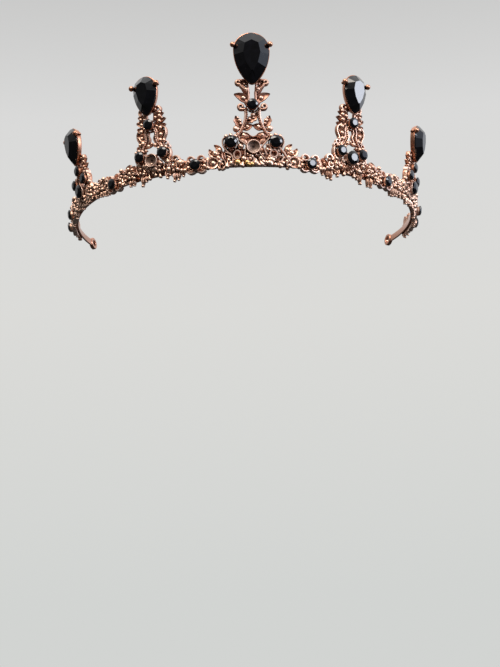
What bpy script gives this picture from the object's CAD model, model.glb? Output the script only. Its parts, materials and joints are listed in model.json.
"""Looks of the baroque tiara crown: cast filigree, cups, settings and black faceted stones.

Lengths are millimetres until a mesh is made. A casting is drawn flat, with u across, v up and n
outwards from its back, and is then bent onto the leaning ring. The places of the stones, cups and
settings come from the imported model.
"""
import json
import math
import random

import bpy
import numpy as np
from mathutils import Matrix, Vector


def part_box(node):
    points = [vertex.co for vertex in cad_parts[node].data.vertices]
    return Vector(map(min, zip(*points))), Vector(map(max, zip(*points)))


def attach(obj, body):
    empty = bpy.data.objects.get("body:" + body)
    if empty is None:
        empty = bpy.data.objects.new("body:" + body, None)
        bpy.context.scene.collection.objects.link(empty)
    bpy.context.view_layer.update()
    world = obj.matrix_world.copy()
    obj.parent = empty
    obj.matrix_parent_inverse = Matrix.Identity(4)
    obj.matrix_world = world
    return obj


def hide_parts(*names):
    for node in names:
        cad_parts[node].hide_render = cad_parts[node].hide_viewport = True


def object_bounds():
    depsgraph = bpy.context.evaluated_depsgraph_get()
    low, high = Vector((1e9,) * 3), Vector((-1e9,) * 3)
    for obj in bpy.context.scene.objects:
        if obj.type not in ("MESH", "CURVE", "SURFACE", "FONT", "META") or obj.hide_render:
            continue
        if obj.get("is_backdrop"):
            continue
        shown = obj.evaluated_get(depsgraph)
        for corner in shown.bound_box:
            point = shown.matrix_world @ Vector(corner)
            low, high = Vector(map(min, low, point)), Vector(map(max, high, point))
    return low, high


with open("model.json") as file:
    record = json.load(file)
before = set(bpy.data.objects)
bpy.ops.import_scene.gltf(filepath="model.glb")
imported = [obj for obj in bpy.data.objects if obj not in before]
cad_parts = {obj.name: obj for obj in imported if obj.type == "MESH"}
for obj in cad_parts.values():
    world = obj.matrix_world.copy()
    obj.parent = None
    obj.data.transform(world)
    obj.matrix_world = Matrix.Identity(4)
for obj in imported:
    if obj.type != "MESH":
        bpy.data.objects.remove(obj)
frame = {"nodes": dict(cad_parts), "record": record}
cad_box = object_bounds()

# ---------- Sizes ----------

MM = 0.001
MOUNTS = {mount["name"]: mount for mount in frame["record"]["mounts"]}

PLATE_T = 1.4        # thickness of the filigree behind the seats
BAND_T = 1.0         # thickness of the band
BAND_H = 2.8         # height of the band
EYE_R = 2.6          # outer radius of an end eye
SEAT_H = 1.5         # height of a round stone's seat above the filigree
SETTING_H = 2.0      # height of a pear setting above the filigree
PEAR_RATIO = 1.48    # length of a pear stone over its width
CLAW_R = 1.1         # ball at the end of a claw
GIRDLE = 0.5         # thickness of a pear stone's edge
CROWN_H = 2.3        # height of a pear stone above its edge
TABLE_INSET = 0.50   # width of a pear stone's facets over its outline's radius
PEAR_POINTS = 80     # points of a pear stone's outline, and where on it its facets' corners are
PEAR_CORNERS = [0, 9, 19, 27, 34, 40, 46, 53, 61, 71]
SEAT_R = 2.1         # radius of a small round stone's seat
WIDE_SEAT_R = 2.4    # the same beside the centre spire's cup

UNDERSIDE = [c / MM for c in MOUNTS["band_underside"]["pos_m"]]
BAND_Z = UNDERSIDE[2]
EYE_HOLE_R = MOUNTS["left_end_eye"]["dims"]["r_mm"]
LEAN = -math.asin(MOUNTS["left_end_eye"]["axis"][2])
RING_R = -UNDERSIDE[1] + BAND_T / 2 - BAND_Z * math.tan(LEAN)


def shell_r(z):
    """Radius of the castings' back at a height."""
    return RING_R + z * math.tan(LEAN)


def node_box(node):
    low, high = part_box(node)
    return low / MM, high / MM


def node_middle(node):
    low, high = node_box(node)
    return (low + high) / 2


def node_angle(node):
    """Angle of a node round the ring, from the front towards +X."""
    middle = node_middle(node)
    return math.atan2(middle.x, -middle.y)


def local_place(node, angle):
    """A node's place (across, height) on a casting whose middle is at an angle."""
    return (node_angle(node) - angle) * (RING_R + PLATE_T), node_middle(node).z


def seat_place(angle, z, out):
    """Matrix of a rigid part on the ring: x across, y up the slope, z outwards."""
    turn = Matrix.Rotation(angle, 4, "Z")
    spot = Matrix.Translation((0, -shell_r(z) - out, z))
    tilt = Matrix.Rotation(math.pi / 2 + LEAN, 4, "X")
    return turn @ spot @ tilt


# ---------- Mesh building ----------

def full_turn(count):
    """Angles spread evenly round a circle."""
    return np.arange(count) * 2 * math.pi / count


def circle(count, start=0.0):
    """Points of a circle of radius 1."""
    angles = start + full_turn(count)
    return np.column_stack([np.cos(angles), np.sin(angles)])


def evenly(line, step=0.3, count=0):
    """The line with its points spread evenly, about a step apart where no count is given."""
    along = np.concatenate([[0], np.cumsum(np.linalg.norm(np.diff(line, axis=0), axis=1))])
    even = np.linspace(0, along[-1], count or max(4, int(along[-1] / step) + 1))
    return np.column_stack([np.interp(even, along, values) for values in line.T])


def curve(points, step=0.3):
    """A smooth line through the points, sampled evenly."""
    p = np.array(points, float)
    ends = np.vstack([2 * p[0] - p[1], p, 2 * p[-1] - p[-2]])
    t = np.linspace(0, 1, 9)[:-1, None]
    spans = [
        0.5 * (2 * b + (c - a) * t + (2 * a - 5 * b + 4 * c - d) * t**2 + (3 * b - a - 3 * c + d) * t**3)
        for a, b, c, d in zip(ends, ends[1:], ends[2:], ends[3:])
    ]
    return evenly(np.vstack(spans + [p[-1:]]), step)


def arc(at, r, start, turn, shrink=0.0):
    """Points of an arc or a spiral; shrink is the part of the radius lost by its end."""
    t = np.linspace(0, 1, 10)
    a = np.radians(start + turn * t)
    reach = r * (1 - shrink * t)
    return list(zip(at[0] + reach * np.cos(a), at[1] + reach * np.sin(a)))


def near(at, *spots, turn=1):
    """Places given from a point, mirrored where turn is -1; what follows a place is kept."""
    return [(at[0] + turn * u, at[1] + v, *rest) for u, v, *rest in spots]


# Cross-sections from the right edge over the top to the left edge: across (-1 to 1), height (0 to 1)
HALF_ROUND = [(-0.92, 0), (-1, 0.45), (-0.78, 0.8), (-0.3, 1), (0.3, 1), (0.78, 0.8), (1, 0.45), (0.92, 0)]
VEINED = [
    (-0.9, 0), (-1, 0.42), (-0.78, 0.78), (-0.42, 1), (-0.16, 0.86), (0, 0.62), (0.16, 0.86), (0.42, 1),
    (0.78, 0.78), (1, 0.42), (0.9, 0)
]
CUPPED = [
    (-0.9, 0), (-1, 0.75), (-0.84, 1), (-0.62, 0.9), (-0.3, 0.66), (0, 0.58), (0.3, 0.66), (0.62, 0.9),
    (0.84, 1), (1, 0.75), (0.9, 0)
]
MILLED = [(-0.8, 0), (-1, 0.5), (-0.6, 0.9), (0, 1), (0.6, 0.9), (1, 0.5), (0.8, 0)]
# Widths along one small bead of a beaded wire, and of a stone's beaded collar
WIRE_SWELL, COLLAR_SWELL = [0.62, 0.9, 1, 0.9], [0.65, 0.9, 1, 0.9]
# A petal's width along its length: place (0 to 1), width (0 to 1)
PETAL = np.array([(0, 0.3), (0.2, 0.45), (0.4, 0.66), (0.58, 0.86), (0.72, 0.98), (0.84, 0.94),
                  (0.93, 0.72), (0.98, 0.42), (1, 0.15)])


class Solid:
    """Vertices, faces and a per-vertex lift (0 in the hollows, 1 on the crests) of one mesh."""

    def __init__(self):
        self.points, self.lifts, self.quads, self.tris, self.slots = [], [], [], [], []
        self.count = 0

    def add(self, points, lifts, quads, tris, slot=0, flip=False):
        quads, tris = np.array(quads, int).reshape(-1, 4), np.array(tris, int).reshape(-1, 3)
        if flip:
            quads, tris = quads[:, ::-1], tris[:, ::-1]
        self.points.append(np.asarray(points, float))
        self.lifts.append(np.broadcast_to(np.asarray(lifts, float), len(points)))
        self.quads.append(quads + self.count)
        self.tris.append(tris + self.count)
        self.slots.append((slot, len(quads), len(tris)))
        self.count += len(points)

    def object(self, name, place, materials, sharp=55):
        """Makes the object; place maps an array of points to the model's millimetres."""
        points = place(np.vstack(self.points)) * MM
        mesh = bpy.data.meshes.new(name)
        mesh.from_pydata(points.tolist(), [], np.vstack(self.quads).tolist() + np.vstack(self.tris).tolist())
        slots, quad_counts, tri_counts = zip(*self.slots)
        slots = np.repeat(slots * 2, quad_counts + tri_counts)
        mesh.polygons.foreach_set("material_index", slots.astype(np.int32))
        lift = mesh.attributes.new("lift", "FLOAT", "POINT")
        lift.data.foreach_set("value", np.concatenate(self.lifts).astype(np.float32))
        mesh.validate()
        mesh.shade_smooth()
        mesh.set_sharp_from_angle(angle=math.radians(sharp))
        for material in materials:
            mesh.materials.append(material)
        piece = bpy.data.objects.new(name, mesh)
        bpy.context.collection.objects.link(piece)
        return piece


def stacked(outlines):
    """Points of flat outlines given as (outline, height)."""
    return np.vstack([np.column_stack([outline, np.full(len(outline), h)]) for outline, h in outlines])


def fan(first, count):
    """Triangles that fill an outline from its first point."""
    return [(first, first + k, first + k + 1) for k in range(1, count - 1)]


def loft_faces(rings, across, closed=False):
    """Quads between rings of points, and triangles that close the two ends."""
    ring = np.arange(rings if closed else rings - 1)[:, None]
    here, there = ring * across, (ring + 1) % rings * across
    j = np.arange(across)
    after = (j + 1) % across
    quads = np.column_stack([(a + b).ravel() for a, b in (
        (here, j), (there, j), (there, after), (here, after))])
    if closed:
        return quads, []
    return quads, fan(0, across) + [t[::-1] for t in fan((rings - 1) * across, across)]


def swept(path, half_width, top, profile=HALF_ROUND, bottom=0.0, closed=False):
    """Points, lifts and faces of a cross-section swept along a flat path."""
    shape = np.array(profile, float)
    rings, across = len(path), len(shape)
    if closed:
        ahead = np.roll(path, -1, axis=0) - np.roll(path, 1, axis=0)
    else:
        ahead = np.gradient(path, axis=0)
    ahead /= np.linalg.norm(ahead, axis=1)[:, None] + 1e-9
    side = np.column_stack([-ahead[:, 1], ahead[:, 0]])
    half_width = np.broadcast_to(half_width, rings)
    top, bottom = np.broadcast_to(top, rings), np.broadcast_to(bottom, rings)
    flat = path[:, None, :] + side[:, None, :] * (half_width[:, None] * shape[:, 0])[..., None]
    height = bottom[:, None] + (top - bottom)[:, None] * shape[:, 1]
    points = np.concatenate([flat, height[..., None]], axis=2).reshape(-1, 3)
    return points, np.tile(shape[:, 1], rings), *loft_faces(rings, across, closed)


def level_quads(levels, count):
    """Quads up the sides of a stack of equal outlines."""
    return [(i + j, i + (j + 1) % count, i + count + (j + 1) % count, i + count + j)
            for i in range(0, (levels - 1) * count, count) for j in range(count)]


def turned(profile, segments, lifts):
    """A solid of revolution; the profile (radius, height) starts and ends on the axis."""
    rings = len(profile) - 2
    points = stacked([(circle(segments) * radius, h) for radius, h in profile[1:-1]])
    points = np.vstack([points, (0, 0, profile[0][1]), (0, 0, profile[-1][1])])
    last, foot, apex = (rings - 1) * segments, rings * segments, rings * segments + 1
    tris = [(foot, (n + 1) % segments, n) for n in range(segments)]
    tris += [(last + n, last + (n + 1) % segments, apex) for n in range(segments)]
    lift = np.concatenate([np.repeat(lifts[1:-1], segments), [lifts[0], lifts[-1]]])
    return points, lift, level_quads(rings, segments), tris


# ---------- Drawing a casting ----------

COPPER, PALE_WIRE, GILT = 0, 1, 2    # material slots of a casting
BOLD = 1.15          # width of a stroke or bead over its drawn width
FOOT_BOLD = 1.38     # the same in the centre spire's foot
LEFT_DROPS = 0.65    # length of the left castings' hanging leaves over the right ones'
WEB_T = 0.45         # thickness of the web behind dense ornament
COLUMN, ROW = 1.7, 1.6    # spacing in a thicket


class Casting:
    """A flat relief of beads, wires, scrolls and leaves."""

    def __init__(self, seed, flip=1):
        self.solid = Solid()
        self.dice = random.Random(seed)
        self.base_flip = flip
        self.flip = 1
        self.rise = 0.0
        self.bold = BOLD

    def halves(self):
        """Lets a loop draw its body twice, the second time mirrored."""
        for self.flip in (1, -1):
            yield self.flip
        self.flip = 1

    def put(self, points, lifts, quads, tris, slot=COPPER, shine=1.0):
        turn = self.flip * self.base_flip
        points = points * (turn, 1, 1) + (0, self.rise, 0)
        self.solid.add(points, np.asarray(lifts) * shine, quads, tris, slot, flip=turn < 0)

    def vary(self, amount):
        """A number near 1."""
        return 1 + self.dice.uniform(-amount, amount)

    def bead(self, at, r, top=None, slot=COPPER):
        """A ball on a short stalk."""
        r *= self.bold * self.vary(0.05)
        top = (top or 1.15 + 0.75 * r) * self.vary(0.06)
        segments = 10 if r < 0.6 else 14
        squash = min(r, top * 0.5)
        profile = [(0, 0), (0.62 * r, 0)]
        for a in map(math.radians, (-50, -20, 10, 35, 60, 80)):
            profile.append((r * math.cos(a), top - squash + squash * math.sin(a)))
        profile.append((0, top))
        lifts = [0, 0, 0.25, 0.45, 0.65, 0.85, 1, 1, 1]
        points, lift, quads, tris = turned(profile, segments, lifts)
        self.put(points + (at[0], at[1], 0), lift, quads, tris, slot)

    def wire(self, points, w, top=1.1, bottom=0.0, slot=COPPER):
        """A smooth half-round wire."""
        self.put(*swept(curve(points), self.bold * w / 2, top, bottom=bottom), slot, 0.75)

    def pale(self, points, w, top=1.1, bottom=0.0):
        """A wire of pale copper."""
        self.wire(points, w, top, bottom, PALE_WIRE)

    def milled(self, points, w, top, pitch=0.72):
        """A wire of small beads."""
        path = curve(points, pitch / 4)
        swell = np.resize(WIRE_SWELL, len(path))
        points, lifts, quads, tris = swept(
            path, self.bold * w / 2 * swell, top * (0.55 + 0.45 * swell), MILLED)
        self.put(points, lifts * np.repeat(swell, len(MILLED)), quads, tris)

    def leaf(self, base, tip, width, bend=0.0, top=1.5, lobes=0, profile=VEINED):
        """A pointed leaf; bend is its sideways bow over its length."""
        base, tip = np.array(base, float), np.array(tip, float)
        along = tip - base
        side = np.array([-along[1], along[0]])
        t = np.linspace(0, 1, max(12, lobes * 6 + 1))
        path = base + along * t[:, None] + side * (bend * np.sin(math.pi * t))[:, None]
        half = width / 2 * np.sin(math.pi * np.clip(t, 0.03, 0.985) ** 0.8) ** 0.75 + 0.06
        rise = top * (0.62 + 0.38 * np.sin(math.pi * t) + 0.12 * t)
        if lobes:
            wave = np.cos(2 * math.pi * lobes * t)
            half, rise = half * (0.86 + 0.14 * wave), rise * (1 + 0.07 * wave)
        self.put(*swept(path, self.bold * half, rise * self.vary(0.06), profile), shine=0.62)

    def cupped(self, *facts, **more):
        """A leaf with a raised edge."""
        self.leaf(*facts, profile=CUPPED, **more)

    def blade(self, *facts, **more):
        """A smooth leaf."""
        self.leaf(*facts, profile=HALF_ROUND, **more)

    def petal(self, base, turn, length, width, top=1.35):
        """A drop-shaped petal with a round outer end."""
        t, shape = PETAL.T
        path = np.array(base) + np.outer(t * length, circle(1, math.radians(turn)))
        rise = top * (0.6 + 0.4 * shape) * self.vary(0.06)
        self.put(*swept(path, self.bold * width / 2 * shape, rise), shine=0.85)

    def petals(self, *facts):
        """Petals given as (across, height, turn, length, width, top)."""
        for u, v, *shape in facts:
            self.petal((u, v), *shape)

    def ring(self, at, r, w=0.6, top=1.3, milled=False, squeeze=1.0, turn=0.0, slot=COPPER, shine=1.0):
        """A closed ring or, with squeeze, an oval."""
        count = max(12, int(2 * math.pi * r / 0.3) // 4 * 4)
        x, y = circle(count).T * [[r * squeeze], [r]]
        c, s = math.cos(math.radians(turn)), math.sin(math.radians(turn))
        path = np.column_stack([at[0] + x * c - y * s, at[1] + x * s + y * c])
        swell = np.resize(COLLAR_SWELL, count) if milled else np.ones(count)
        self.put(*swept(path, w / 2 * swell, top * (0.5 + 0.5 * swell), closed=True), slot, shine)

    def drop(self, at, length, width, lean=0.0):
        """A hanging leaf that ends in a small ball."""
        tip = (at[0] + lean, at[1] - length)
        self.leaf(at, tip, width, top=1.3)
        self.bead(tip, width * 0.3)

    def seat(self, at, r):
        """The cup of a round stone, with a dark collar of small beads at its foot."""
        rim = PLATE_T + SEAT_H
        out = r - 0.2
        profile = [
            (0, 0), (out - 0.2, 0), (out - 0.1, 1.1), (out, 1.5), (out, rim - 0.12), (out - 0.1, rim),
            (out - 0.3, rim), (out - 0.4, rim - 0.1), (out - 0.45, PLATE_T), (0, PLATE_T - 0.1)
        ]
        points, lifts, quads, tris = turned(profile, 32, [0, 0, 0, 0.1, 0.15, 0.3, 0.3, 0.1, 0, 0])
        middle = (at[0], at[1] - self.rise, 0)
        self.put(points + middle, lifts, quads, tris)
        self.ring(middle, r + 0.1, 0.55, 1.5, milled=True, shine=0.5)

    def web(self, left, right, low, high):
        """Thin dark plate behind a dense zone, with a wavy edge."""
        middle = (low + high) / 2 - self.rise
        path = curve([(left, middle), (right, middle)])
        u = path[:, 0]
        waves = 1 + 0.07 * np.sin(u * 2.3) + 0.05 * np.sin(u * 4.1 + 1)
        points, lifts, quads, tris = swept(path, (high - low) / 2 * waves, WEB_T)
        self.put(points, lifts * 0.25, quads, tris)

    def bud(self, at, turn, r, length=1.7):
        """A bead held in a small pointed leaf."""
        ahead = circle(1, math.radians(turn))[0] * r
        self.cupped(at - ahead, at + ahead * length, 2.3 * r, top=1.35)
        self.bead(at, 0.58 * r, 2.0)

    def curl(self, at, r, start, turn, w=0.6, stem=(), top=1.6, ball=0.8, slot=COPPER):
        """A smooth open scroll; its stem's points come last, its ball is at the inner end."""
        coil = arc(at, r, start, turn, 0.3)[::-1]
        self.wire(coil + list(stem), w, top, slot=slot)
        self.bead(coil[0], ball * w, top + 0.3)

    def hook(self, at, r, start, turn, w=0.65, top=1.8, slot=PALE_WIRE):
        """An open arc of smooth wire."""
        self.wire(arc(at, r, start, turn), w, top, slot=slot)

    def thicket(self, left, right, low=4.8, high=8.8, drops=4.2):
        """A dense mix of beads, petals, hooks and leaves; drops is the longest hanging leaf."""
        dice = self.dice
        self.web(left - 0.3, right + 0.3, low - 0.5, high)
        columns = max(1, round((right - left) / COLUMN))
        for i in range(columns):
            column = left + (i + 0.5) * (right - left) / columns
            for j in range(round((high - low) / ROW) + 1):
                u = column + dice.uniform(-0.35, 0.35)
                v = low + ROW * (j + (i % 2) / 2) + dice.uniform(-0.3, 0.3)
                top = dice.uniform(1.4, 2.1)
                kind = dice.choice(("bead", "bead", "petal", "hook", "bud", "leaf", "pair"))
                if kind == "bead":
                    self.bead((u, v), dice.uniform(0.6, 1.05), top + 0.3)
                elif kind == "petal":
                    self.petal((u, v + 0.9), dice.uniform(-125, -55), dice.uniform(1.8, 2.5), 1.25, top)
                elif kind == "hook":
                    slot = dice.choice((COPPER, PALE_WIRE))
                    self.hook((u, v), dice.uniform(0.8, 1.1), dice.uniform(0, 360), 230, 0.65, top, slot)
                    self.bead((u, v), 0.5, top)
                elif kind == "bud":
                    self.bud((u, v), dice.uniform(30, 150), dice.uniform(0.9, 1.2))
                elif kind == "leaf":
                    aside = dice.uniform(-0.9, 0.9)
                    self.leaf((u - aside, v - 1.1), (u + aside, v + 1.5), 1.5, 0.12, top)
                else:
                    self.bead((u - 0.5, v - 0.3), 0.6, top)
                    self.bead((u + 0.5, v + 0.4), 0.5, top - 0.2)
            length = drops * dice.choice((0.5, 0.6, 0.7, 0.8, 1.0))
            if self.base_flip < 0:
                length *= LEFT_DROPS
            if length:
                self.drop((column, low), length, 1.35, dice.uniform(-0.3, 0.5))

    def beads(self, *spots):
        """Beads given as (across, height, radius)."""
        for u, v, r in spots:
            self.bead((u, v), r, 1.25 + 0.85 * r)


def long_neck(c, low, tip):
    """Curls, wing leaves and two rails between the centre's neck stone and its pear."""
    for _ in c.halves():
        c.wire([(1.55, low + 1.3), (1.3, low + 3.0), (1.5, tip - 1.0), (1.75, tip + 1.2)], 0.85, 1.35)
        stem = [(4.0, tip - 0.3), (2.9, tip - 1.4), (1.8, tip - 2.4)]
        c.curl((5.0, tip + 1.3), 0.85, 230, 290, 1.15, stem, 1.7, ball=0.3)
        c.blade((1.6, tip + 2.3), (5.2, tip + 2.5), 1.1, -0.1)
        c.blade((1.2, low + 3.6), (4.6, tip + 0.9), 2.1, 0.05, 1.25)
        c.blade((1.6, tip + 1.6), (4.3, tip + 1.1), 2.1, top=0.9)
        c.cupped((1.3, low + 1.1), (6.7, low + 4.5), 2.8, 0.07, 1.3)
        c.blade((1.5, low - 0.6), (3.2, low + 2.6), 1.8, 0.1, 1.1)
        c.beads((2.2, tip - 1.5, 0.8), (3.3, low + 2.7, 0.85), (2.7, tip + 0.5, 0.5))
    c.wire([(-2.4, tip + 2.4), (2.4, tip + 2.4)], 1.8, 1.1)


def seats(c, neck_z, cup_z):
    """The seat of the neck stone, and the open ring behind the large cup."""
    c.seat((0, neck_z), SEAT_R)
    c.ring((0, cup_z - c.rise), 1.9, 1.3, PLATE_T - 0.05)


def collar(c, at, lift, step, r, top):
    """Three beads over a side stone."""
    for spot in near(at, (step, lift), (0, lift + 0.4), (-step, lift)):
        c.bead(spot, r, top)


def arms(c, line):
    """A smooth arm with a beaded inner edge."""
    c.pale([(u + 0.22, v) for u, v in line], 0.85, 1.5)
    c.milled([(u - 0.36, v) for u, v in line], 0.6, 2.0, 0.75)


def centre_spire(c, neck_z, cup_z, tip, side):
    """The tallest casting: a lyre of beaded arms over a wide foot whose two sides differ."""
    c.rise = 0.45
    long_neck(c, neck_z, tip)
    seats(c, neck_z, cup_z)
    c.web(-11.2, 11.2, 4.6, 8.6)
    c.web(-4.4, 4.4, 8.0, 10.6)
    c.web(-5.2, 5.2, 12.6, 15.0)
    for _ in c.halves():
        c.web(4.6, 11.2, 8.0, 11.0)
        c.curl((4.3, 26.3), 1.0, -80, 270, 1.0, [(2.75, 25.3)], 1.7, ball=0.5)
        arms(c, [(2.9, 25.9), (2.45, 24.2), (2.5, 22.4), (2.9, 20.5), (3.7, 18.4), (4.9, 16.1),
                 (5.9, 14.6)])
        c.cupped((4.1, 18.5), (6.3, 22.9), 2.5, -0.13, 1.6, lobes=3)
        c.beads((5.0, 20.9, 0.72), (5.6, 22.0, 0.45), (4.6, 19.7, 0.5), (6.3, 17.6, 1.15),
                (2.1, 18.35, 0.72), (3.1, 17.9, 0.45), (3.5, 15.1, 0.85), (5.3, 14.3, 0.55),
                (6.0, 15.8, 0.5))
        c.wire([(3.9, 17.8), (6.3, 17.6)], 0.8, 1.1)
        c.cupped((3.8, 17.6), (0.0, 19.1), 2.3, -0.03, 1.4)
        c.blade((5.5, 14.0), (0.9, 14.6), 2.7, -0.14, 1.4)
        c.blade((5.6, 13.6), (2.3, 11.7), 2.3, -0.1, 1.1)
        c.pale([(4.4, 16.3), (2.2, 15.9), (0.9, 14.8), (0, 14.5)], 0.42, 1.7)
        c.seat(side, WIDE_SEAT_R)
        collar(c, side, 2.0, 1.7, 0.7, 3.3)
        c.pale(near(side, (0.9, 2.3), (2.9, 1.6), (3.3, -0.2), (2.6, -2.1), (1.2, -4.0)), 0.62, 2.0)
        c.milled(near(side, (1.9, 1.2), (2.5, -0.4), (1.8, -2.2)), 0.6, 1.6)
    c.bold = FOOT_BOLD
    foot_left(c)
    foot_right(c)
    fringe(c)
    c.bold = BOLD
    # a leaf across the lyre, from its lower left to its upper right
    c.cupped((-2.4, 20.4), (2.7, 24.5), 2.7, -0.08, lobes=4)
    c.beads((0.1, 23.1, 0.78), (-1.2, 21.4, 0.5), (0.3, 21.9, 0.42), (1.6, 24.0, 0.45))


def foot_left(c):
    """The centre spire's foot, left of its cup."""
    c.bead((-4.75, 10.7), 0.85, 2.4)
    c.pale([(-5.5, 13.3), (-2.5, 10.9)], 0.45, 2.8, bottom=1.6)
    c.pale([(-2.6, 10.9), (-3.1, 8.8), (-3.3, 6.9)], 0.5, 2.2, bottom=0.9)
    c.leaf((-4.4, 6.9), (-3.9, 9.8), 1.6, 0.1)
    c.ring((-6.2, 7.5), 1.65, 0.8, 2.0, squeeze=0.78, slot=PALE_WIRE)
    c.leaf((-6.4, 10.0), (-6.1, 8.0), 1.3, top=1.6)
    c.bead((-6.1, 4.6), 0.95, 2.5, GILT)
    c.leaf((-9.7, 8.9), (-8.3, 4.3), 1.8, 0.08)
    c.pale([(-10.6, 8.6), (-8.8, 7.9), (-7.9, 6.2), (-8.0, 4.3)], 0.6, 2.1)
    c.petal((-10.2, 7.6), -40, 2.2, 1.1, 1.9)
    c.leaf((-11.4, 9.2), (-10.6, 5.4), 1.7, -0.1, 1.6)
    c.ring((-11.8, 3.9), 1.8, 0.7, 2.0, squeeze=0.6, turn=-12)
    c.beads((-11.3, 2.7, 0.6), (-11.9, 4.3, 0.45), (-9.4, 5.6, 0.7), (-3.7, 5.9, 0.9),
            (-2.2, 7.6, 0.55), (-0.9, 6.9, 0.75), (0.9, 7.4, 0.5), (1.9, 7.2, 0.55), (-7.3, 5.6, 0.5))
    c.bead((-2.5, 4.4), 0.8, 2.4, GILT)
    c.bead((-0.7, 3.7), 0.6, 2.4, GILT)
    c.hook((-1.1, 5.6), 1.25, 150, 240, 0.75, 2.1)
    c.bead((-1.2, 5.9), 0.55, 1.8)
    c.petals((-9.6, 4.9, -80, 1.9, 1.2, 1.5), (-4.6, 5.4, -95, 2.0, 1.2, 1.3),
             (-7.4, 4.8, -80, 1.5, 1.0, 1.3))


def foot_right(c):
    """The centre spire's foot, right of its cup."""
    c.hook((5.3, 9.8), 1.35, 110, -150, 0.95, 2.1)
    c.beads((5.4, 9.4, 0.8), (7.7, 9.5, 0.75), (9.3, 9.1, 0.8), (9.8, 7.8, 0.5), (6.2, 6.7, 0.55),
            (8.3, 6.2, 0.5), (2.9, 5.9, 0.9), (7.0, 5.6, 0.95),
            (5.6, 5.9, 0.65), (9.9, 6.9, 0.7), (3.6, 7.6, 0.5), (0.5, 5.4, 0.7),
            (11.9, 6.3, 0.6), (10.9, 8.9, 0.5))
    c.pale([(6.1, 13.7), (3.3, 10.6), (1.8, 8.4)], 0.45, 2.8, bottom=1.6)
    c.pale([(3.3, 10.6), (4.5, 8.5), (5.0, 7.2)], 0.45, 2.3, bottom=1.2)
    c.pale([(2.2, 8.2), (3.0, 7.0), (4.3, 5.6)], 0.5, 2.2, bottom=0.9)
    c.ring((7.7, 7.9), 1.45, 1.0, 1.9, slot=PALE_WIRE)
    c.wire([(6.2, 6.2), (7.2, 5.6), (8.0, 4.9)], 0.9, 1.7)
    c.pale([(9.6, 7.2), (11.2, 6.7), (10.9, 5.5), (10.1, 4.5)], 0.7, 2.1)
    c.leaf((9.3, 4.6), (8.9, 6.8), 1.3)
    c.petals((1.1, 5.6, -85, 2.3, 1.2, 1.4), (6.5, 5.2, -95, 1.9, 1.1, 1.4),
             (9.3, 4.6, -70, 1.5, 1.0, 1.3), (11.3, 5.4, -85, 2.2, 1.2, 1.4))
    c.pale([(9.8, 10.2), (11.5, 8.2), (13.0, 5.9), (13.9, 4.6)], 0.55, 2.4, bottom=0.9)
    c.ring((13.5, 4.0), 1.1, 0.65, 2.0, squeeze=0.8, turn=20)
    c.bead((13.7, 3.4), 0.6, 2.3)


def fringe(c):
    """Petals, beads and a gilt wire along the centre spire's lower edge, in front of the band."""
    for u, v, turn, length in ((-9.9, 5.0, -104, 2.5), (-7.4, 5.1, -66, 2.4), (-3.9, 5.1, -104, 2.5),
                               (2.1, 5.5, -58, 2.9), (7.5, 5.4, -118, 2.5), (9.7, 5.2, -66, 2.8)):
        c.petal((u, v), turn, length, 1.55, 1.9)
    c.beads((-8.5, 4.3, 0.82), (-5.1, 3.6, 0.6), (0.8, 4.2, 0.92), (2.0, 3.5, 0.55), (3.7, 4.7, 0.7),
            (6.2, 4.3, 0.9), (8.4, 3.7, 0.62), (11.2, 4.4, 0.75))
    c.bud((4.8, 4.4), -65, 1.05, 1.4)
    c.wire([(-2.9, 4.9), (-2.3, 3.8), (-1.1, 3.4), (0.0, 3.9)], 1.0, 2.2, slot=GILT)


def short_neck(c, low, tip, k):
    """Leafy column at both sides of a neck stone that sits close under its pear."""
    for _ in c.halves():
        c.curl((3.6 * k, tip + 2.2), 1.35 * k, -110, 290, 0.9, [(2.0 * k, tip + 0.6)], 1.7)
        c.wire([(1.6 * k, low + 1.6), (1.9 * k, tip), (2.0 * k, tip + 2.2)], 0.9, 1.3)
        c.cupped((2.2 * k, low + 0.1), (6.7 * k, low + 1.9), 2.2 * k, 0.06, 1.6)
        c.cupped((2.0 * k, low + 2.0), (5.9 * k, low + 4.2), 1.8 * k, 0.06)
        for u, v, r in ((4.1, 0.9, 0.85), (4.2, 3.0, 0.8), (2.5, 2.6, 0.75),
                        (5.3, 2.1, 0.5), (4.4, 4.4, 0.65), (2.5, 4.2, 0.55)):
            c.beads((u * k, low + v, r * k))
    c.wire([(-2.2 * k, tip + 2.3), (2.2 * k, tip + 2.3)], 1.8, 1.1)


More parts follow.
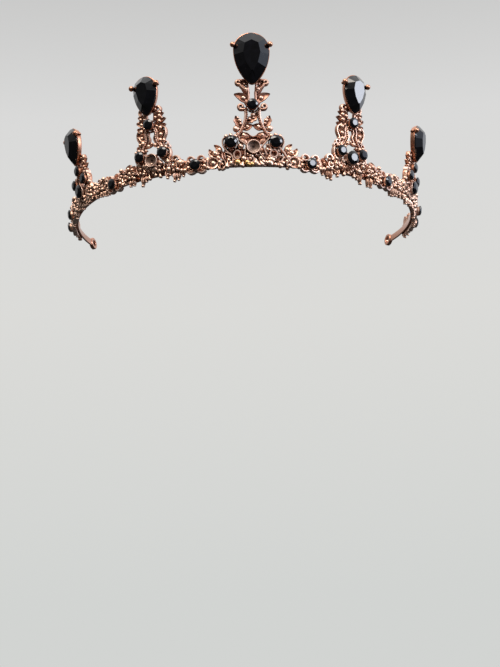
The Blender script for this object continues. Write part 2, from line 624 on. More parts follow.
def inner_spire(c, neck_z, cup_z, tip, side):
    """Narrower than the centre spire, with leaves in brackets and hanging drops at its foot."""
    c.rise = 0.4
    short_neck(c, neck_z, tip, 0.95)
    seats(c, neck_z, cup_z)
    u, v = side
    c.thicket(-7.2, 7.2, 4.9, 7.6, drops=0)
    for turn in c.halves():
        arms(c, [(1.9, 22.2), (2.5, 20.2), (2.4, 18.3), (3.1, 16.4), (4.1, 14.9), (4.5, 13.9)])
        c.wire([(1.0, 21.4), (1.5, 19.8), (0.9, 18.2), (1.4, 16.6), (2.4, 15.6)], 0.6, 1.3)
        c.wire([(4.6, 22.8), (6.1, 21.4), (6.3, 19.4), (5.5, 17.6), (4.9, 15.9)], 0.65, 1.6)
        c.cupped((2.2, 20.3), (6.3, 23.2), 2.3, 0.08, 1.6)
        c.cupped((2.7, 17.7), (6.0, 20.7), 2.3, 0.08)
        c.leaf((2.6, 15.0), (5.6, 18.0), 2.0, 0.1, 1.3)
        c.beads((4.2, 21.7, 0.9), (4.2, 19.1, 0.8), (3.9, 16.9, 0.9), (2.9, 22.6, 0.6), (5.3, 16.7, 0.6),
                (1.5, 15.4, 0.75), (2.8, 14.0, 0.5))
        c.wire([(3.3, 15.3), (1.5, 15.3), (0, 16.0)], 0.8, 1.2)
        c.ring((6.0, 15.4), 0.8, 0.55, 1.5, slot=PALE_WIRE)
        c.ring((6.9, 13.9), 0.75, 0.55, 1.5, slot=PALE_WIRE)
        c.seat(side, SEAT_R)
        collar(c, side, 1.8, 1.5, 0.6, 3.2)
        c.wire(near(side, (1.2, 2.4), (2.6, 0.9), (2.7, -1.2), (1.7, -3.1)), 0.65, 1.8)
        c.pale([(2.0, cup_z + 1.4), (u - 1.2, v + 0.9)], 0.45, 2.4, bottom=1.2)
        c.milled([(u + 2.2, v - 2.0), (u + 2.6, v - 4.2), (u + 1.8, 5.0)], 0.7, 1.9)
        c.bud((u + 1.2, 8.5), 70, 1.4, 1.3)
        c.beads((3.3, cup_z - 1.7, 0.95), (5.1, 9.9, 0.7), (2.3, 8.3, 0.7))
        c.petal((2.4, 4.6), -88, 2.4, 1.4)
        c.drop((5.4, 4.6), 4.0 if turn > 0 else 3.0, 1.7, 0.3)
    c.petal((-0.4, 4.9), -96, 1.8, 1.4)
    c.drop((3.9, 4.4), 2.4, 1.5)
    c.drop((-6.9, 4.6), 2.0, 1.4)
    c.bead((0, 16.2), 0.5)


def outer_spire(c, neck_z, cup_z, tip, side):
    """Compact: the neck stone stands right above the side stones, over a dense foot."""
    c.rise = 0.3
    short_neck(c, neck_z, tip, 0.85)
    seats(c, neck_z, cup_z)
    u, v = side
    c.thicket(-8.1, 8.1, 4.9, 8.6, drops=3.9)
    for _ in c.halves():
        c.seat(side, SEAT_R)
        arms(c, [(1.5, neck_z - 1.6), (2.1, neck_z - 3.2), (1.9, cup_z + 3.2)])
        c.cupped((2.2, neck_z - 2.2), (5.3, neck_z - 0.3), 2.1, 0.08)
        c.wire(near(side, (0.8, 2.3), (2.2, 1.0), (2.3, -1.3), (1.4, -3.2)), 0.7, 1.8)
        c.bud((u + 0.6, v - 3.4), -60, 1.35, 1.2)
        c.leaf((7.4, 6.8), (8.0, 10.4), 2.1, -0.12, 1.6)
        c.beads((3.3, neck_z - 1.3, 0.85), (u + 1.2, v + 2.6, 0.75), (u - 0.6, v + 2.7, 0.7),
                (u + 2.3, v + 0.4, 0.6), (6.7, v - 1.9, 0.9), (4.2, neck_z - 0.2, 0.6), (3.2, v - 2.6, 0.8))
        c.hook((5.4, neck_z - 2.4), 1.0, 200, -230, 0.7, 1.9)
    c.cupped((0, neck_z - 1.6), (0, neck_z - 4.6), 1.9)
    c.bead((0, neck_z - 3.0), 0.75)


BOW = 3.6    # half the width of a stone's bow


def stone_bow(c, at):
    """Two open curls over a garland's stone, two flat hooks under it, and beads at its sides."""
    u = at[0]
    c.seat(at, SEAT_R)
    for turn in (-1, 1):
        first = 205 if turn > 0 else -25
        middle, *stem = near(at, (2.15, 2.6), (3.5, 1.5), turn=turn)
        c.curl(middle, 1.5, first, -turn * 250, 0.72, stem, 1.9, ball=0.7, slot=PALE_WIRE)
        c.pale(near(at, (3.6, -1.8), (2.6, -2.6), (1.3, -2.5), (0.5, -2.0), turn=turn), 0.85, 1.9)
        c.beads(*near(at, (3.2, -0.3, 0.85), (3.5, 1.3, 0.7), (4.5, -1.1, 0.85), turn=turn))
    c.wire([(u - BOW, 3.4), (u, 3.0), (u + BOW, 3.4)], 0.8, 1.1)


def front_garland(c, stone):
    """Between the centre spire and an inner spire."""
    c.web(-9.4, 9.4, 4.2, 7.8)
    stone_bow(c, stone)
    c.cupped((-9.4, 8.0), (-7.2, 12.3), 2.0, 0.18, 1.8)
    c.cupped((-8.3, 7.6), (-5.3, 10.9), 2.1, -0.12, 1.7)
    c.cupped((-7.4, 7.0), (-4.9, 9.0), 1.7, 0.1)
    c.beads((-9.3, 10.2, 0.95), (-7.6, 8.9, 1.0), (-8.7, 7.2, 0.8), (-6.2, 7.7, 0.7), (-9.2, 5.4, 0.9),
            (-4.6, 6.5, 0.7), (-4.6, 3.6, 0.7), (-8.8, 8.8, 0.5))
    c.bud((-6.7, 5.2), -38, 1.7, 1.5)
    c.hook((-6.6, 5.2), 2.1, 160, -190, 0.6, 2.0)
    c.petal((-8.4, 4.6), -110, 2.3, 1.4)
    c.hook((8.1, 8.6), 1.3, 190, -220, 0.85, 2.0, COPPER)
    c.leaf((5.2, 8.2), (6.9, 5.0), 1.2, 0.1, 1.9)
    c.beads((9.4, 8.7, 0.65), (8.2, 8.2, 0.6), (5.9, 3.9, 0.85), (9.3, 6.4, 0.8), (7.5, 4.6, 0.8),
            (9.2, 4.4, 0.65), (6.2, 6.2, 0.55))
    c.petal((7.2, 7.3), -60, 2.0, 1.2, 1.9)
    c.hook((8.6, 6.1), 1.1, 120, 230, 0.6, 2.0, COPPER)
    c.drop((5.6, 4.0), 2.3, 1.4, -0.2)
    c.drop((7.2, 4.2), 3.6, 1.6, 0.3)
    c.drop((8.6, 4.2), 3.9, 1.6, 0.6)
    c.petal((9.5, 4.4), -92, 2.6, 1.4)


def oval_leaf(c):
    """The smooth leaf that only the left front garland has."""
    c.blade((4.6, 7.2), (8.9, 7.0), 2.3, top=1.9)


def side_garland(c, stone):
    """Between an inner and an outer spire: the longest run."""
    stone_bow(c, stone)
    c.thicket(-12.4, stone[0] - BOW, 4.9, 8.6)
    c.thicket(stone[0] + BOW, 12.4, 4.9, 8.8)


def rear_garland(c, stone):
    """A stone bow in a thicket."""
    stone_bow(c, stone)
    c.thicket(-8.4, stone[0] - BOW)
    c.thicket(stone[0] + BOW, 8.4)


def end_garland(c, stone):
    """A stone bow in a thicket that closes on a flat end bar."""
    stone_bow(c, stone)
    c.thicket(-8.2, stone[0] - BOW)
    c.thicket(stone[0] + BOW, 7.4, drops=3.2)
    c.wire([(8.1, 2.6), (8.1, 7.8)], 1.5, 1.5)


# ---------- Materials ----------

class Shading:
    """The node tree of a material or of the world."""

    def __init__(self, owner):
        owner.use_nodes = True
        self.nodes, self.links = owner.node_tree.nodes, owner.node_tree.links

    def new(self, kind):
        return self.nodes.new("ShaderNode" + kind)

    def split(self, place):
        """X, Y and Z of a texture coordinate."""
        split = self.new("SeparateXYZ")
        self.links.new(self.new("TexCoord").outputs[place], split.inputs[0])
        return split.outputs

    def noise(self, scale, detail=3.0, rough=0.5):
        """Noise in model coordinates; scale is in waves per metre."""
        noise = self.new("TexNoise")
        for name, value in (("Scale", scale), ("Detail", detail), ("Roughness", rough)):
            noise.inputs[name].default_value = value
        self.links.new(self.new("TexCoord").outputs["Object"], noise.inputs["Vector"])
        return noise.outputs["Fac"]

    def math(self, operation, *values, clamp=False):
        """A Math node; its values are sockets or numbers."""
        node = self.new("Math")
        node.operation = operation
        node.use_clamp = clamp
        for socket, value in zip(node.inputs, values):
            if isinstance(value, (int, float)):
                socket.default_value = value
            else:
                self.links.new(value, socket)
        return node.outputs[0]

    def drift(self, noise, amount):
        """Noise moved to lie around 0."""
        return self.math("MULTIPLY", self.math("SUBTRACT", noise, 0.5), amount)

    def ramp(self, tone, stops):
        """A colour for each tone; stops are (position, colour or grey level)."""
        ramp = self.new("ValToRGB")
        elements = ramp.color_ramp.elements
        elements.remove(elements[1])
        for i, (position, colour) in enumerate(stops):
            stop = elements[0] if i == 0 else elements.new(position)
            stop.position = position
            stop.color = (*colour, 1) if isinstance(colour, tuple) else (colour, colour, colour, 1)
        self.links.new(tone, ramp.inputs["Fac"])
        return ramp.outputs["Color"]

    def openness(self, reach, power):
        """1 on open surfaces and less in corners narrower than the reach."""
        shade = self.new("AmbientOcclusion")
        shade.samples = 6
        shade.inputs["Distance"].default_value = reach
        return self.math("POWER", shade.outputs["AO"], power)

    def lift(self):
        """The mesh's own height: 0 in the hollows, 1 on the crests."""
        lift = self.new("Attribute")
        lift.attribute_name = "lift"
        return lift.outputs["Fac"]


class Finish(Shading):
    """A material round its Principled shader."""

    def __init__(self, name):
        self.material = bpy.data.materials.new(name)
        super().__init__(self.material)
        self.shader = self.nodes["Principled BSDF"]

    def paint(self, name, tone, stops):
        """Drives an input of the shader through a ramp."""
        self.links.new(self.ramp(tone, stops), self.shader.inputs[name])

    def fix(self, name, value):
        self.shader.inputs[name].default_value = value

    def bump(self, height, strength, depth):
        bump = self.new("Bump")
        bump.inputs["Strength"].default_value = strength
        bump.inputs["Distance"].default_value = depth
        self.links.new(height, bump.inputs["Height"])
        self.links.new(bump.outputs["Normal"], self.shader.inputs["Normal"])


RUB_FROM, RUB_TO = 14 * MM, 7 * MM    # heights between which the castings get more rubbed


def cast_copper(name, recess, middle, crest, rub=0.0):
    """Antiqued casting: dark in the recesses, rubbed bright on the crests and along its foot."""
    finish = Finish(name)
    patina, grain = finish.noise(420, 4), finish.noise(3800, 3)
    foot = finish.new("MapRange")
    limits = (RUB_FROM, RUB_TO, 0.20 + rub, 0.56 + 0.5 * rub)
    for key, value in zip(("From Min", "From Max", "To Min", "To Max"), limits):
        foot.inputs[key].default_value = value
    finish.links.new(finish.split("Object")["Z"], foot.inputs["Value"])
    height = finish.math("MULTIPLY", finish.lift(), 0.58)
    tone = finish.math("MULTIPLY", finish.math("ADD", height, foot.outputs["Result"]),
                       finish.openness(0.9 * MM, 1.2))
    tone = finish.math("ADD", tone, finish.drift(patina, 0.45))
    tone = finish.math("ADD", tone, finish.drift(grain, 0.12), clamp=True)
    finish.paint("Base Color", tone, [(0.10, recess), (0.38, middle), (0.80, crest)])
    finish.paint("Metallic", tone, [(0.1, 0.55), (0.4, 1.0)])
    finish.paint("Roughness", tone, [(0.1, 0.6), (0.8, 0.42)])
    finish.bump(grain, 0.2, 0.05 * MM)
    return finish.material


def smooth_copper(name, corner, middle, pale, rough=0.16, metallic=1.0):
    """Smooth copper, with faint tarnish in its corners and fine wear."""
    finish = Finish(name)
    cloud, wear = finish.noise(260, 3), finish.noise(2600, 5, 0.65)
    tone = finish.math("ADD", finish.openness(1.2 * MM, 1.4), finish.drift(cloud, 0.5), clamp=True)
    finish.paint("Base Color", tone, [(0.05, corner), (0.5, middle), (0.95, pale)])
    finish.paint("Roughness", wear, [(0.3, rough), (0.75, rough + 0.18)])
    finish.bump(wear, 0.1, 0.03 * MM)
    finish.fix("Metallic", metallic)
    return finish.material


def black_glass():
    """Polished black glass with faint haze and fine wear."""
    finish = Finish("black_glass")
    finish.paint("Base Color", finish.noise(500), [
        (0.3, (0.0015, 0.0015, 0.002)), (0.7, (0.004, 0.004, 0.006))])
    finish.paint("Roughness", finish.noise(900), [(0.35, 0.03), (0.8, 0.07)])
    finish.fix("IOR", 1.62)
    return finish.material


def cup_floor_material():
    """Old glue in a cup that has lost its stone: mottled taupe, darker towards the middle."""
    finish = Finish("cup_floor")
    blotch = finish.noise(1400, 4, 0.6)
    tone = finish.math("ADD", finish.lift(), finish.drift(blotch, 0.7), clamp=True)
    finish.paint("Base Color", tone, [
        (0.0, (0.04, 0.02, 0.014)), (0.35, (0.13, 0.075, 0.055)), (0.9, (0.27, 0.18, 0.14))])
    finish.paint("Roughness", blotch, [(0.3, 0.3), (0.7, 0.5)])
    finish.bump(blotch, 0.3, 0.08 * MM)
    finish.fix("Metallic", 0.35)
    return finish.material


ANTIQUE = cast_copper("antique_copper", (0.032, 0.011, 0.008), (0.39, 0.165, 0.105), (0.92, 0.63, 0.49))
POLISH = smooth_copper("polished_copper", (0.06, 0.02, 0.012), (0.42, 0.165, 0.09), (0.62, 0.30, 0.19), 0.24)
WORN = cast_copper("worn_copper", (0.040, 0.014, 0.010), (0.45, 0.20, 0.122), (0.92, 0.63, 0.48), 0.14)
PALE = smooth_copper("pale_copper", (0.20, 0.08, 0.05), (0.70, 0.39, 0.28), (0.93, 0.67, 0.55), 0.34, 0.65)
BAND_COPPER = smooth_copper("band_copper", (0.06, 0.02, 0.012), (0.38, 0.15, 0.085), (0.60, 0.30, 0.20))
GILDING = cast_copper("gilt_beads", (0.08, 0.02, 0.006), (0.55, 0.21, 0.06), (0.95, 0.62, 0.27))
GLASS = black_glass()
OLD_GLUE = cup_floor_material()


# ---------- Pieces ----------

def bent(angle):
    """Mapping from a flat casting onto the leaning ring."""
    def place(points):
        theta = angle + points[:, 0] / (RING_R + PLATE_T)
        radius = RING_R + points[:, 1] * math.tan(LEAN) + points[:, 2] * math.cos(LEAN)
        z = points[:, 1] - points[:, 2] * math.sin(LEAN)
        return np.column_stack([radius * np.sin(theta), -radius * np.cos(theta), z])
    return place


def rigid(matrix):
    """Mapping from a part's own frame to the ring."""
    turn = np.array(matrix.to_3x3())
    shift = np.array(matrix.translation)
    return lambda points: points @ turn.T + shift


def finish_piece(piece, node):
    """Rides on the one body and stands for its CAD node."""
    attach(piece, "root")
    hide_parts(node)


def make_casting(node, name, draw, angle, seed, flip, *facts):
    """A casting drawn by a function from the facts that it asks for."""
    c = Casting(seed, flip)
    draw(c, *facts)
    if node == "left_front_garland":
        oval_leaf(c)
    copper = ANTIQUE if node == "centre_spire" else WORN
    piece = c.solid.object(name, bent(angle), [copper, PALE, GILDING])
    finish_piece(piece, node)


def pear_outline(r, count):
    """Outline of a pear: a round top and two arcs that run into a small round tip, from the top."""
    length = 2 * PEAR_RATIO - 1
    tip_r = 0.3
    drop = length
    for _ in range(20):
        arc_r = 1 + (drop * drop - 1) / 2
        end = math.asin(drop / arc_r)
        drop = length + tip_r * (1 / math.sin(end) - 1)
    # where an arc parallel to the side meets the tip's own axis
    inner = arc_r - tip_r
    stop = math.acos((arc_r - 1) / inner)
    top = np.radians(np.linspace(90, 0, 40))
    side = np.linspace(0, stop, 80)[1:]
    tip = np.linspace(-stop, -math.pi / 2, 30)[1:]
    middle = -inner * math.sin(stop)
    x = np.concatenate([np.cos(top), 1 - arc_r * (1 - np.cos(side)), tip_r * np.cos(tip)])
    y = np.concatenate([np.sin(top), -arc_r * np.sin(side), middle + tip_r * np.sin(tip)])
    y = np.where(y < 0, y * length / -y[-1], y)
    x, y = np.concatenate([x, -x[-2:0:-1]]), np.concatenate([y, y[-2:0:-1]])
    loop = np.column_stack([x, y])
    loop = evenly(np.vstack([loop, loop[:1]]), count=count + 1)[:-1] * r
    return np.column_stack([-loop[:, 0], loop[:, 1]])


def brilliant(r):
    """A round stone: a 16-sided edge with eight kites up to its table, and a plain underside."""
    sides, girdle_h, crown_h, underside = 16, 0.3, 0.25 * r, -0.8
    n = sides // 2
    outline = r * circle(sides, math.pi / 2)
    levels = [(outline * 0.55, underside), (outline, 0), (outline, girdle_h)]
    levels.append((outline[1::2] * 0.8, girdle_h + crown_h * 0.52))
    levels.append((outline[0::2] * 0.55, girdle_h + crown_h))
    girdle, mid, table = 2 * sides, 3 * sides, 3 * sides + n
    quads = level_quads(3, sides)
    tris = []
    for k in range(n):
        edge = girdle + 2 * k
        tris.append((edge, edge + 1, mid + k))
        tris.append((edge + 1, girdle + (2 * k + 2) % sides, mid + k))
        tris.append((mid + k, table + (k + 1) % n, table + k))
        quads.append((edge, mid + k, table + k, mid + (k - 1) % n))
    tris += fan(table, n) + [t[::-1] for t in fan(0, sides)]
    solid = Solid()
    solid.add(stacked(levels), 1, quads, tris)
    return solid


def pear_table(outline, inset):
    """Corners of a pear stone's table: facet corners moved inwards, each across its own edge."""
    ahead = np.roll(outline, -1, axis=0) - np.roll(outline, 1, axis=0)
    normal = np.column_stack([-ahead[:, 1], ahead[:, 0]]) / np.linalg.norm(ahead, axis=1)[:, None]
    table = outline[PEAR_CORNERS] + normal[PEAR_CORNERS] * inset
    tip = len(PEAR_CORNERS) // 2
    table[tip] = outline[PEAR_CORNERS[tip]] + np.array([0, 1.42 * inset])
    return table


def pear_cut(r):
    """A pear stone with one row of flat facets between its edge and its table."""
    count, facets, low, underside = PEAR_POINTS, len(PEAR_CORNERS), SETTING_H, SETTING_H - 1.2
    outline = pear_outline(r, count)
    table = pear_table(outline, TABLE_INSET * r)
    middle = outline.mean(axis=0)
    edge = np.full(count, low + GIRDLE)
    upper, first = 2 * count, 3 * count
    tris = []
    for k, corner in enumerate(PEAR_CORNERS):
        after = PEAR_CORNERS[(k + 1) % facets]
        a, b = outline[corner], outline[after]
        along = (b - a) / np.linalg.norm(b - a)
        across = np.array([along[1], -along[0]])
        depth = abs(((table[k] + table[(k + 1) % facets]) / 2 - (a + b) / 2) @ across)
        span = (after - corner) % count
        run = [(corner + i) % count for i in range(span + 1)]
        for i in run[1:-1]:
            bulge = abs((outline[i] - a) @ across)
            edge[i] -= min(0.7 * GIRDLE, bulge / depth * CROWN_H)
        half = span // 2
        here, there = first + k, first + (k + 1) % facets
        tris += [(upper + run[i], upper + run[i + 1], here) for i in range(half)]
        tris += [(upper + run[half], there, here)]
        tris += [(upper + run[i], upper + run[i + 1], there) for i in range(half, span)]
    levels = [(middle + (outline - middle) * 0.55, underside), (outline, low), (outline, edge),
              (table, low + GIRDLE + CROWN_H)]
    tris += fan(first, facets) + [t[::-1] for t in fan(0, count)]
    solid = Solid()
    solid.add(stacked(levels), 1, level_quads(3, count), tris)
    return solid


def make_pear(spire):
    """The pear stone of a spire and the setting that holds it."""
    node = spire + "_pear_stone"
    low, high = node_box(node)
    height = (high - low).z - GIRDLE * math.sin(LEAN)
    r = height / (2 * PEAR_RATIO * math.cos(LEAN))
    z = high.z - r * math.cos(LEAN) + SETTING_H * math.sin(LEAN)
    place = rigid(seat_place(node_angle(node), z, PLATE_T))
    finish_piece(pear_cut(r).object(spire + "_pear", place, [GLASS], sharp=8), node)

    outline = pear_outline(r + 0.25, 96)
    middle = np.array([0, -0.3 * r])
    # outside from the back plate up, over the rim and down the inside: inset, height, lift
    wall = [
        (0.9, 0, 0.6), (0.55, 0.06, 1), (0.42, 0.2, 1), (0.3, 0.7, 0.7), (0.08, 1.5, 0.9),
        (0.0, SETTING_H - 0.12, 1), (0.08, SETTING_H, 1), (0.45, SETTING_H, 0.8),
        (0.55, SETTING_H - 0.1, 0.5), (0.6, 0.75, 0)
    ]
    quads, tris = loft_faces(len(wall), len(outline))
    setting = Solid()
    setting.add(stacked([(middle + (outline - middle) * (1 - inset / r), h) for inset, h, _ in wall]),
                np.repeat([lift for _, _, lift in wall], len(outline)), quads[:, ::-1],
                [t[::-1] for t in tris])
    claw_z = 0.3 * r
    edge = math.sqrt(r * r - claw_z * claw_z)
    for turn in (-1, 1):
        add_claw(setting, turn, edge, claw_z)
    piece = setting.object(spire + "_setting", place, [POLISH])
    finish_piece(piece, spire + "_pear_setting")


def tube(line, radii, sides=12):
    """Points and faces of a round tube along a line of points in space."""
    ahead = np.gradient(line, axis=0)
    ahead /= np.linalg.norm(ahead, axis=1)[:, None]
    first = np.cross(ahead, (0, 1, 0))
    first /= np.linalg.norm(first, axis=1)[:, None]
    second = np.cross(ahead, first)
    a = full_turn(sides)[None, :, None]
    ring = first[:, None, :] * np.cos(a) + second[:, None, :] * np.sin(a)
    points = (line[:, None, :] + ring * radii[:, None, None]).reshape(-1, 3)
    quads, tris = loft_faces(len(line), sides)
    return points, quads[:, ::-1], [t[::-1] for t in tris]


def add_claw(solid, turn, edge, v):
    """A claw: a stem from the back plate up the wall, and a ball that grips the stone's edge."""
    ball = np.array([turn * (edge + CLAW_R - 0.4), v, SETTING_H + 0.75])
    line = curve([
        (turn * (edge - 0.9), v, 0.35), (turn * (edge + 0.25), v, 0.5), (turn * (edge + 0.65), v, 1.2),
        ball - (turn * 0.25, 0, 0.5)
    ], 0.25)
    points, quads, tris = tube(line, np.linspace(0.5, 0.42, len(line)))
    solid.add(points, 0.8, quads, tris)
    rise = np.radians(np.arange(-90, 91, 15))
    profile = CLAW_R * np.column_stack([np.cos(rise), np.sin(rise)])
    points, lift, quads, tris = turned(profile, 24, [1] * len(profile))
    solid.add(points + ball, lift, quads, tris)


def make_round_stone(node):
    """A round brilliant on its seat, sized from its node."""
    low, high = node_box(node)
    middle = node_middle(node)
    r = (high - low).z / 2 / math.cos(LEAN) - 0.02
    out = math.hypot(middle.x, middle.y) - shell_r(middle.z) - 0.15
    place = rigid(seat_place(node_angle(node), middle.z, out))
    piece = brilliant(r).object(node + "_cut", place, [GLASS])
    piece.data.shade_flat()
    finish_piece(piece, node)


def make_cup(spire):
    """Smooth cup with a rounded lip; an empty one shows old glue on its floor."""
    node = spire + "_cup"
    z = node_middle(node).z + SEAT_H / 2 * math.sin(LEAN)
    low, high = node_box(node)
    r = ((high - low).z - SEAT_H * math.sin(LEAN)) / 2 / math.cos(LEAN)
    inner, brim = r - 0.46, 0.95    # where the wall's inside meets the floor
    wall = [
        (0, 0), (r - 0.35, 0), (r - 0.12, 0.1), (r - 0.02, 0.4), (r, SEAT_H - 0.25),
        (r - 0.05, SEAT_H - 0.06), (r - 0.16, SEAT_H), (r - 0.3, SEAT_H - 0.02),
        (r - 0.42, SEAT_H - 0.16), (inner, brim), (0, brim)
    ]
    floor = [(0, brim), (inner, brim), (r - 0.8, 0.62), (r * 0.45, 0.42), (0.5, 0.36), (0.4, 0.12), (0, 0.1)]
    cup = Solid()
    points, lifts, quads, tris = turned(wall, 48, [0.6, 0.6, 0.8, 0.9, 1, 1, 1, 1, 0.8, 0.5, 0.5])
    apex = len(points) - 1
    cup.add(points[:apex], lifts[:apex], quads, [t for t in tris if apex not in t])
    points, lifts, quads, tris = turned(floor, 48, [1, 1, 0.9, 0.6, 0.35, 0, 0])
    foot = len(points) - 2
    cup.add(points, lifts, quads, [t for t in tris if foot not in t], 1)
    place = rigid(seat_place(node_angle(node), z, PLATE_T))
    finish_piece(cup.object(spire + "_cup_shell", place, [PALE, OLD_GLUE]), node)


def make_band():
    """Plain rounded strip inside the filigree, with an eye at each end."""
    eye = MOUNTS["right_end_eye"]
    end = math.atan2(eye["pos_m"][0], -eye["pos_m"][1])
    stop = end - (EYE_R - 0.5) / RING_R
    count = 300
    corner = [(0.5, 0.36), (0.42, 0.47), (0.3, 0.5)]
    across = [(-s, -h) for s, h in corner] + [(s, -h) for s, h in corner[::-1]]
    across += corner + [(-s, h) for s, h in corner[::-1]]
    points = []
    for a in np.linspace(-stop, stop, count + 1):
        for s, h in across:
            z = BAND_Z + BAND_H * (0.5 + h)
            radius = shell_r(z) - BAND_T / 2 + s * BAND_T * 0.98
            points.append((radius * math.sin(a), -radius * math.cos(a), z))
    band = Solid()
    band.add(points, 0.8, *loft_faces(count + 1, len(across)))
    half = BAND_T / 2 + 0.3
    profile = [
        (EYE_HOLE_R, -half + 0.15), (EYE_HOLE_R + 0.15, -half), (EYE_R - 0.25, -half), (EYE_R, -half + 0.25),
        (EYE_R, half - 0.25), (EYE_R - 0.25, half), (EYE_HOLE_R + 0.15, half), (EYE_HOLE_R, half - 0.15)
    ]
    ring = np.array([(r * math.cos(t), r * math.sin(t), h) for t in full_turn(64) for r, h in profile])
    quads, tris = loft_faces(64, len(profile), closed=True)
    for side in (-1, 1):
        place = rigid(seat_place(side * end, BAND_Z + BAND_H / 2, -BAND_T / 2))
        band.add(place(ring), 0.9, quads[:, ::-1], tris)
    piece = band.object("inner_band", lambda p: p, [BAND_COPPER], sharp=40)
    finish_piece(piece, "base_band")


def make_spire(name, seed):
    """A spire's casting, drawn round the places of its own stones."""
    angle = node_angle(name + "_pear_stone")
    neck_z = local_place(name + "_neck_stone", angle)[1]
    cup_z = local_place(name + "_cup", angle)[1]
    side = local_place(name + "_right_stone", angle)
    tip = node_box(name + "_pear_stone")[0].z
    draw = centre_spire if name == "centre" else inner_spire if "inner" in name else outer_spire
    flip = -1 if name.startswith("left") else 1
    make_casting(name + "_spire", name + "_filigree", draw, angle, seed, flip, neck_z, cup_z, tip, side)


def make_garland(name, turn, seed):
    """A garland's casting; the left ones are mirror images."""
    side = "left" if turn < 0 else "right"
    node = f"{side}_{name}_garland"
    draw, low, high = GARLANDS[name]
    angle = turn * math.radians((low + high) / 2)
    u, v = local_place(f"{side}_{name}_stone", angle)
    make_casting(node, node + "_filigree", draw, angle, seed, turn, (turn * u, v))


SPIRES = ["centre", "left_inner", "right_inner", "left_outer", "right_outer"]
# How each garland is drawn, and between which angles from the front it lies
GARLANDS = {
    "front": (front_garland, 9.6, 25.3), "side": (side_garland, 37.7, 59),
    "rear": (rear_garland, 73, 87.4), "end": (end_garland, 87.4, 101.6)
}
SPIRE_SEED, GARLAND_SEED = 11, 31

make_band()
for i, spire in enumerate(SPIRES):
    make_spire(spire, SPIRE_SEED + i)
    make_pear(spire)
    make_cup(spire)
for i, garland in enumerate(GARLANDS):
    for turn in (-1, 1):
        make_garland(garland, turn, GARLAND_SEED + i)
for node in sorted(frame["nodes"]):
    if node.endswith("_stone") and not node.endswith("_pear_stone"):
        make_round_stone(node)


# ---------- Stage, light and camera ----------

# The camera's place and aim: metres and degrees
CAMERA_DISTANCE = 0.6305       # from the ring's axis, 4 mm above the crown's foot
CAMERA_ABOVE_FOOT = 0.004
CAMERA_BELOW = 18.33           # how far it looks up
CAMERA_LEFT = 3.33             # how far it stands to the crown's left
CAMERA_PITCH, CAMERA_YAW, CAMERA_ROLL = 4.25, 0.08, -1.77
CAMERA_LENS = 78.97


def turned_towards(a, b, angle):
    """Two directions at a right angle, both turned so that a moves towards b."""
    return a * math.cos(angle) + b * math.sin(angle), b * math.cos(angle) - a * math.sin(angle)


def make_camera():
    """A camera below the crown and a little to its left, looking up."""
    below, left, pitch, yaw, roll = map(
        math.radians, (CAMERA_BELOW, CAMERA_LEFT, CAMERA_PITCH, CAMERA_YAW, CAMERA_ROLL))
    place = Vector((0, -math.cos(below), -math.sin(below))) * CAMERA_DISTANCE
    ahead, right = -place.normalized(), Vector((1, 0, 0))
    up, aim = turned_towards(right.cross(ahead), ahead, pitch)
    aim, right = turned_towards(aim, right, yaw)
    across, up = turned_towards(right, up, roll)
    matrix = Matrix((across, up, -aim)).transposed().to_4x4()
    matrix.translation = place
    camera = bpy.data.objects.new("camera", bpy.data.cameras.new("camera"))
    camera.data.sensor_width = 36
    camera.data.lens = CAMERA_LENS
    camera.data.clip_start = 0.01
    camera.matrix_world = (
        Matrix.Translation((0, 0, CAMERA_ABOVE_FOOT)) @ Matrix.Rotation(-left, 4, "Z") @ matrix
    )
    bpy.context.collection.objects.link(camera)
    bpy.context.scene.camera = camera


FLOOR_R, FLOOR_Z = 4.0, -0.28    # metres


def make_floor():
    """Pale floor well below the crown, which floats because the head that wears it is left out."""
    rim = stacked([(FLOOR_R * circle(96), FLOOR_Z)])
    mesh = bpy.data.meshes.new("floor")
    mesh.from_pydata(rim.tolist(), [], [list(range(len(rim)))])
    floor = bpy.data.objects.new("floor", mesh)
    finish = Finish("pale_floor")
    finish.paint("Base Color", finish.noise(3, 2), [(0.3, (0.44, 0.44, 0.43)), (0.7, (0.47, 0.47, 0.46))])
    finish.fix("Roughness", 0.8)
    mesh.materials.append(finish.material)
    bpy.context.collection.objects.link(floor)
    floor.visible_glossy = False
    floor.visible_diffuse = False
    floor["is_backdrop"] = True


def make_light(name, azimuth, elevation, distance, width, height, power, colour):
    """A rectangular soft light that faces the crown; azimuth is from the front towards +X."""
    light = bpy.data.lights.new(name, "AREA")
    light.shape = "RECTANGLE"
    light.size, light.size_y = width, height
    light.energy = power
    light.color = colour
    lamp = bpy.data.objects.new(name, light)
    a, e = math.radians(azimuth), math.radians(elevation)
    out = Vector((math.sin(a) * math.cos(e), -math.cos(a) * math.cos(e), math.sin(e)))
    lamp.location = out * distance + Vector((0, 0, 0.02))
    lamp.rotation_mode = "QUATERNION"
    lamp.rotation_quaternion = out.to_track_quat("Z", "Y")
    bpy.context.collection.objects.link(lamp)


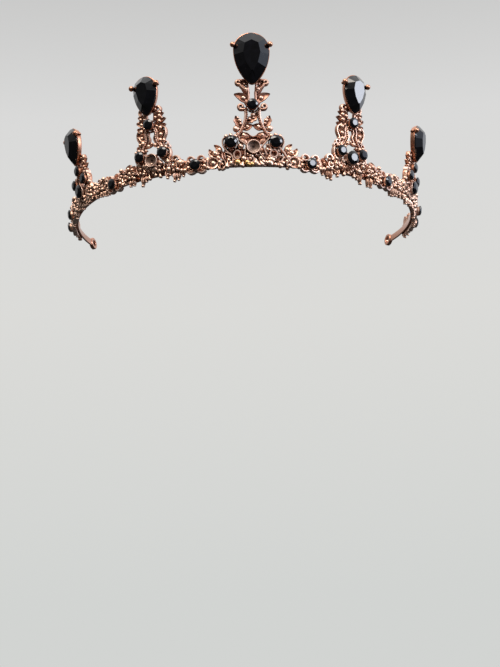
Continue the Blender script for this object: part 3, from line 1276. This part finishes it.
def make_world():
    """Pale backdrop for the camera; the crown itself reflects a room that is dark in front of it."""
    world = bpy.data.worlds.new("studio")
    bpy.context.scene.world = world
    sky = Shading(world)
    direction = sky.split("Generated")

    def along(axis, stops):
        """A ramp of the direction along an axis, from -1 to 1."""
        share = sky.math("MULTIPLY_ADD", direction[axis], 0.5, 0.5)
        return sky.ramp(share, [((place + 1) / 2, colour) for place, colour in stops])

    def mixed(blend, a, b):
        mix = sky.new("Mix")
        mix.data_type = "RGBA"
        mix.blend_type = blend
        mix.inputs[0].default_value = 1.0
        sky.links.new(a, mix.inputs[6])
        sky.links.new(b, mix.inputs[7])
        return mix.outputs[2]

    seen = along("Z", [(-1.0, (0.60, 0.61, 0.60)), (0.07, (0.645, 0.66, 0.645)), (0.26, (0.71, 0.71, 0.69)),
                       (0.38, (0.70, 0.70, 0.695)), (0.46, (0.58, 0.58, 0.575)), (1.0, (0.50, 0.50, 0.49))])
    above = along("Z", [(-0.1, 0.04), (0.25, 0.08), (0.5, 0.3), (0.95, 1.05)])
    right = along("X", [(0.5, 0.0), (0.93, (0.8, 0.9, 1.1)), (1.0, (1.1, 1.2, 1.5))])
    back = along("Y", [(-0.1, 0.0), (0.35, 0.24), (1.0, 0.55)])
    high = along("Z", [(-0.12, 0.0), (0.08, 1.0)])
    room = mixed("ADD", above, mixed("MULTIPLY", mixed("ADD", right, back), high))
    pick = mixed("MIX", room, seen)
    sky.links.new(sky.new("LightPath").outputs["Is Camera Ray"], pick.node.inputs[0])
    background = sky.nodes["Background"]
    sky.links.new(pick, background.inputs["Color"])
    background.inputs["Strength"].default_value = 1.0


make_camera()
make_floor()
make_world()
make_light("window", 52, 13, 0.9, 0.60, 0.22, 4.3, (0.86, 0.90, 1.0))
make_light("softbox", -16, 44, 0.9, 0.60, 0.40, 6.4, (1.0, 0.92, 0.83))
bpy.context.scene.view_settings.view_transform = "Standard"

boxes = {"cad": cad_box, "visual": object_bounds()}
{name: [list(low), list(high)] for name, (low, high) in boxes.items()}
